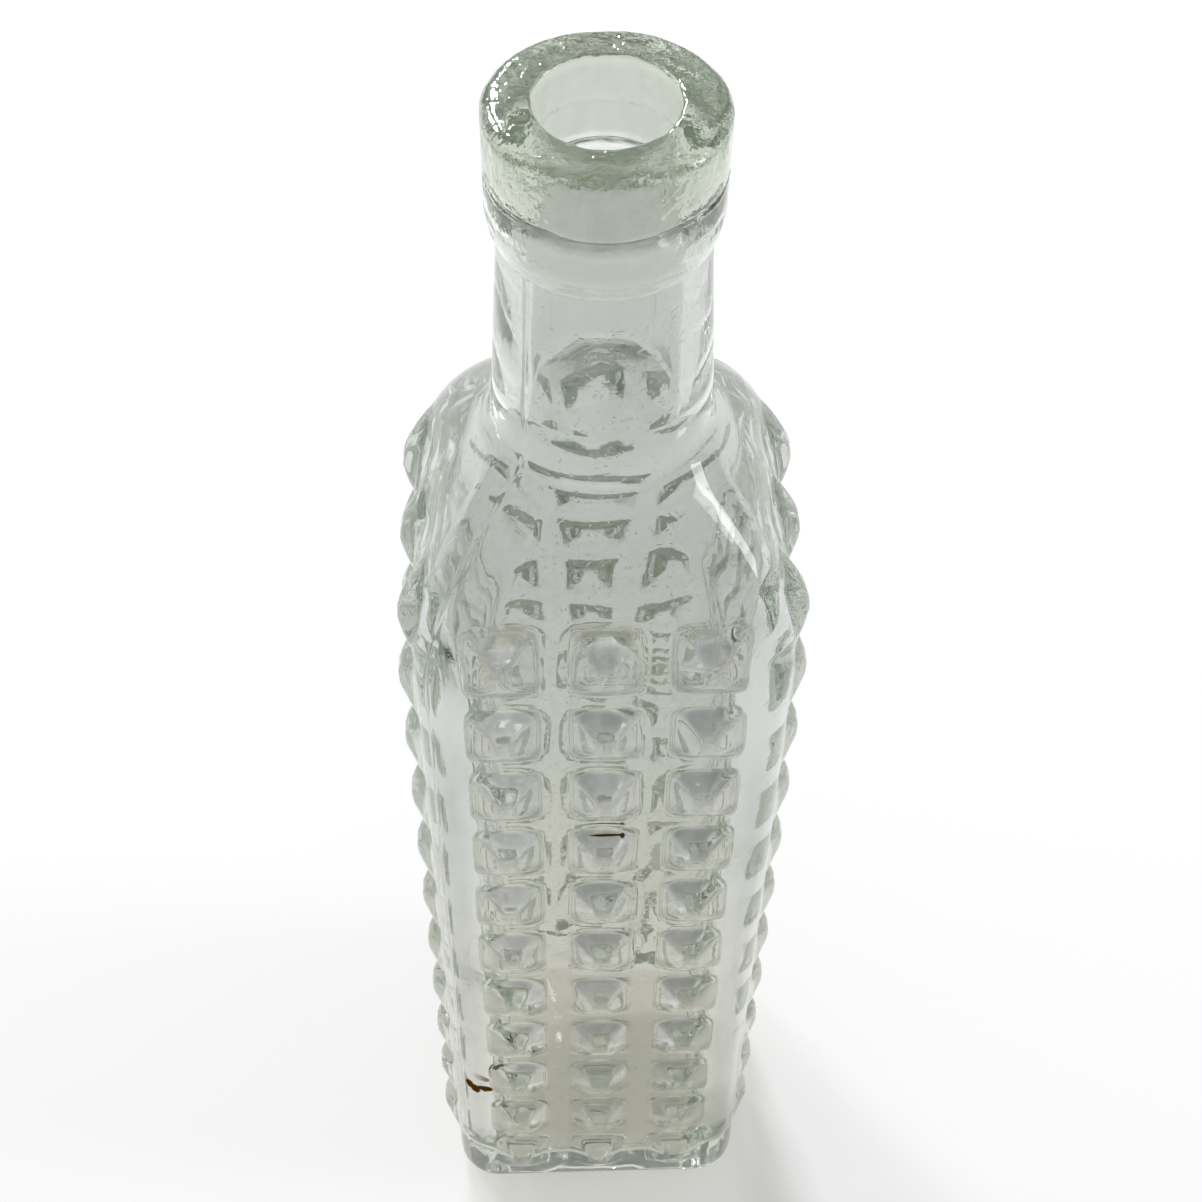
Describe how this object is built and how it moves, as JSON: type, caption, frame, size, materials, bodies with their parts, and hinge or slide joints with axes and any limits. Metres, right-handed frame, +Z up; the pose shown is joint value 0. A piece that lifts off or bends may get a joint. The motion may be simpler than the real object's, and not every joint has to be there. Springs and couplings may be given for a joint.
{
  "type": "glass bottle",
  "caption": "Square clear glass bottle with rows of pointed studs on its sides, a sloping shoulder, a round neck and a thick laid-on lip; holds liquid under a cork.",
  "frame": {"origin": "centre of the base, on the surface that the bottle stands on", "axes": "+Z up along the neck to the mouth, X and Y square to the flat sides, with the side that faces the picture's camera at -Y"},
  "size_m": [0.059, 0.059, 0.24],
  "materials": {
    "body_glass": "glossy old soda glass, clear with a faint grey-green tint, softly wavy",
    "lip_glass": "glossy old soda glass, greener where it is thick, with tool marks"
  },
  "bodies": {
    "root": {"blown_body": "body_glass", "applied_lip": "lip_glass"}
  },
  "joints": []
}
